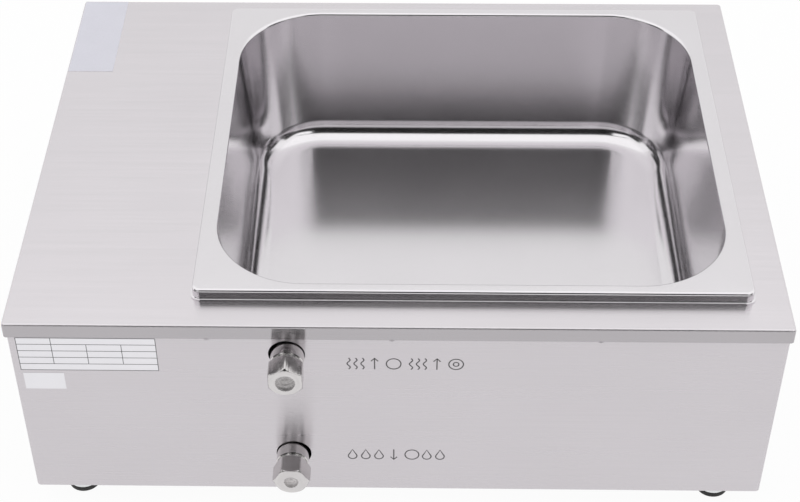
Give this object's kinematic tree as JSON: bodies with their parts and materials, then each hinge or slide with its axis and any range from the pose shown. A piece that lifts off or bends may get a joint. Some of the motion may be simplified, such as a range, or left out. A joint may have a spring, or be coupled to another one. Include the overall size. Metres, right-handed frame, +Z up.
{
  "type": "electric chocolate melting pot",
  "caption": "Brushed stainless water-bath chocolate melter with a lift-out rectangular pan, screwed vent and drain plugs, thermostat, rocker switch and mains inlet.",
  "frame": {"origin": "middle of the whole machine's box, on the surface that its rubber feet stand on", "axes": "+X along the long side towards the pan, +Y from the valve side towards the control side, +Z up"},
  "size_m": [0.4514, 0.357, 0.1635],
  "materials": {
    "housing_steel": "brushed stainless sheet, grain along the long side",
    "pan_steel": "polished stainless, softly blurred reflections",
    "bath_steel": "mill-finish stainless",
    "valve_steel": "turned stainless",
    "seal_metal": "bright flat washer",
    "screw_steel": "bright zinc",
    "element_steel": "heat-darkened tube",
    "brass": "machined brass",
    "gasket_red": "silicone rubber",
    "foot_rubber": "matt black rubber",
    "black_plastic": "fine-grained black",
    "key_plastic": "light grey key",
    "clip_plastic": "orange clip",
    "board_green": "circuit board",
    "window_red": "dark red filter window",
    "display_dark": "segment display block",
    "rocker_green": "translucent green rocker",
    "lamp_amber": "amber lens",
    "white_plastic": "off-white moulding"
  },
  "bodies": {
    "housing": {"top_cover": "housing_steel", "casing": "housing_steel", "base_plate": "bath_steel", "tack_welds": "housing_steel", "base_screws": "screw_steel", "foot_cups": "screw_steel", "foot_pads": "foot_rubber", "foot_screws": "screw_steel", "water_tank": "bath_steel", "heating_element": "element_steel", "element_supports": "bath_steel", "element_bushings": "brass", "element_gaskets": "gasket_red", "element_nuts": "brass", "temperature_probe": "bath_steel", "probe_gland": "brass", "overheat_cutout": "black_plastic", "cutout_bracket": "bath_steel", "cutout_nuts": "screw_steel", "exhaust_socket": "valve_steel", "drain_socket": "valve_steel", "thermostat_case": "black_plastic", "thermostat_bezel": "black_plastic", "thermostat_board": "board_green", "display_module": "display_dark", "display_window": "window_red", "thermostat_clips": "clip_plastic", "switch_body": "black_plastic", "switch_terminals": "brass", "lamp_body": "black_plastic", "lamp_lens": "lamp_amber", "lamp_nut": "screw_steel", "inlet_body": "black_plastic", "inlet_pins": "screw_steel", "inlet_screws": "screw_steel", "terminal_block": "white_plastic", "terminal_screws": "brass", "relay_body": "white_plastic", "relay_plate": "seal_metal", "relay_screws": "screw_steel", "earth_stud": "screw_steel", "earth_nuts": "brass"},
    "pan": {"food_pan": "pan_steel"},
    "exhaust_seal": {"exhaust_seal": "seal_metal"},
    "exhaust_plug": {"exhaust_plug": "valve_steel"},
    "drain_seal": {"drain_seal": "seal_metal"},
    "drain_plug": {"drain_plug": "valve_steel"},
    "key_set": {"key_set": "key_plastic"},
    "key_up": {"key_up": "key_plastic"},
    "key_down": {"key_down": "key_plastic"},
    "key_power": {"key_power": "key_plastic"},
    "switch_rocker": {"switch_rocker": "rocker_green"}
  },
  "joints": [
    {"name": "pan_lift", "type": "slide", "parent": "housing", "child": "pan", "axis": [0, 0, 1], "range_m": [0, 0.12]},
    {"name": "exhaust_plug_travel", "type": "slide", "parent": "housing", "child": "exhaust_seal", "axis": [0, -1, 0], "range_m": [0, 0.00935]},
    {"name": "exhaust_plug_turn", "type": "hinge", "parent": "exhaust_seal", "child": "exhaust_plug", "pos_m": [-0.0623, -0.1633, 0.1326], "axis": [0, -1, 0], "range_deg": [0, 2520]},
    {"name": "drain_plug_travel", "type": "slide", "parent": "housing", "child": "drain_seal", "axis": [0, -1, 0], "range_m": [0, 0.00935]},
    {"name": "drain_plug_turn", "type": "hinge", "parent": "drain_seal", "child": "drain_plug", "pos_m": [-0.0623, -0.1633, 0.0478], "axis": [0, -1, 0], "range_deg": [0, 2520]},
    {"name": "set_key_press", "type": "slide", "parent": "housing", "child": "key_set", "axis": [0, -1, 0], "range_m": [0, 0.0005], "stiffness_N_per_m": 800, "springref_m": -0.0005},
    {"name": "up_key_press", "type": "slide", "parent": "housing", "child": "key_up", "axis": [0, -1, 0], "range_m": [0, 0.0005], "stiffness_N_per_m": 800, "springref_m": -0.0005},
    {"name": "down_key_press", "type": "slide", "parent": "housing", "child": "key_down", "axis": [0, -1, 0], "range_m": [0, 0.0005], "stiffness_N_per_m": 800, "springref_m": -0.0005},
    {"name": "power_key_press", "type": "slide", "parent": "housing", "child": "key_power", "axis": [0, -1, 0], "range_m": [0, 0.0005], "stiffness_N_per_m": 800, "springref_m": -0.0005},
    {"name": "switch_rock", "type": "hinge", "parent": "housing", "child": "switch_rocker", "pos_m": [-0.18752, 0.168, 0.0608], "axis": [1, 0, 0], "range_deg": [0, 18]}
  ],
  "couplings": [
    {"joint": "exhaust_plug_turn", "follows": "exhaust_plug_travel", "rad_per_m": 4700},
    {"joint": "drain_plug_turn", "follows": "drain_plug_travel", "rad_per_m": 4700}
  ]
}
